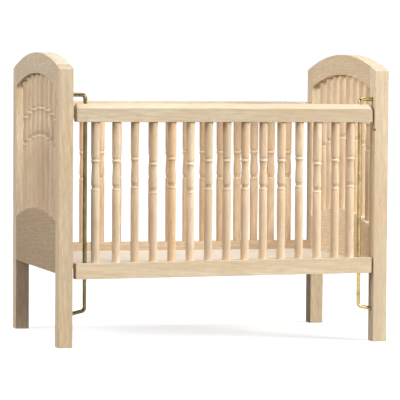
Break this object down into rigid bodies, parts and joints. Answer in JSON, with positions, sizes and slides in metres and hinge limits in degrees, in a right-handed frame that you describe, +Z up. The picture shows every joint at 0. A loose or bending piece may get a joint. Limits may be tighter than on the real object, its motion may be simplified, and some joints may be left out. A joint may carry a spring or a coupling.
{
  "type": "baby crib",
  "caption": "Wooden crib with arched spindle ends, turned spindles on both long sides and a front side that slides down on two bent brass rods.",
  "frame": {"origin": "on the floor, under the middle of the crib's outline", "axes": "+X along the crib's length towards its right end, +Y across it from the sliding front side to the fixed rear side, +Z up"},
  "size_m": [1.07, 0.7, 0.914],
  "materials": {
    "post_wood": "unfinished, sanded, fine straight grain along the post",
    "panel_wood": "unfinished, sanded, fine grain across the end",
    "rail_wood": "unfinished, sanded, fine grain along the rail with short pores",
    "turned_wood": "unfinished, turned, fine grain along the spindle",
    "base_wood": "unfinished board, pale and smooth",
    "brass_rod": "drawn, bright, slightly dulled"
  },
  "bodies": {
    "frame": {"end_spindle_left_1": "turned_wood", "end_spindle_left_2": "turned_wood", "end_spindle_left_3": "turned_wood", "end_spindle_left_4": "turned_wood", "end_spindle_left_5": "turned_wood", "end_spindle_left_6": "turned_wood", "end_spindle_left_7": "turned_wood", "end_spindle_left_8": "turned_wood", "end_spindle_right_1": "turned_wood", "end_spindle_right_2": "turned_wood", "end_spindle_right_3": "turned_wood", "end_spindle_right_4": "turned_wood", "end_spindle_right_5": "turned_wood", "end_spindle_right_6": "turned_wood", "end_spindle_right_7": "turned_wood", "end_spindle_right_8": "turned_wood", "guide_rod_left": "brass_rod", "guide_rod_right": "brass_rod", "head_rail_left": "panel_wood", "head_rail_right": "panel_wood", "lower_panel_left": "panel_wood", "lower_panel_right": "panel_wood", "mattress_base": "base_wood", "post_front_left": "post_wood", "post_front_right": "post_wood", "post_rear_left": "post_wood", "post_rear_right": "post_wood", "rear_spindle_01": "turned_wood", "rear_spindle_02": "turned_wood", "rear_spindle_03": "turned_wood", "rear_spindle_04": "turned_wood", "rear_spindle_05": "turned_wood", "rear_spindle_06": "turned_wood", "rear_spindle_07": "turned_wood", "rear_spindle_08": "turned_wood", "rear_spindle_09": "turned_wood", "rear_spindle_10": "turned_wood", "rear_spindle_11": "turned_wood", "rear_spindle_12": "turned_wood", "rear_spindle_13": "turned_wood", "rear_spindle_14": "turned_wood", "rear_spindle_15": "turned_wood", "rear_top_rail": "rail_wood"},
    "drop_side": {"drop_bottom_rail": "rail_wood", "drop_spindle_01": "turned_wood", "drop_spindle_02": "turned_wood", "drop_spindle_03": "turned_wood", "drop_spindle_04": "turned_wood", "drop_spindle_05": "turned_wood", "drop_spindle_06": "turned_wood", "drop_spindle_07": "turned_wood", "drop_spindle_08": "turned_wood", "drop_spindle_09": "turned_wood", "drop_spindle_10": "turned_wood", "drop_spindle_11": "turned_wood", "drop_spindle_12": "turned_wood", "drop_spindle_13": "turned_wood", "drop_spindle_14": "turned_wood", "drop_spindle_15": "turned_wood", "drop_top_rail": "rail_wood"}
  },
  "joints": [
    {"name": "drop_side_slide", "type": "slide", "parent": "frame", "child": "drop_side", "axis": [0, 0, 1], "range_m": [-0.088, 0.005]}
  ]
}
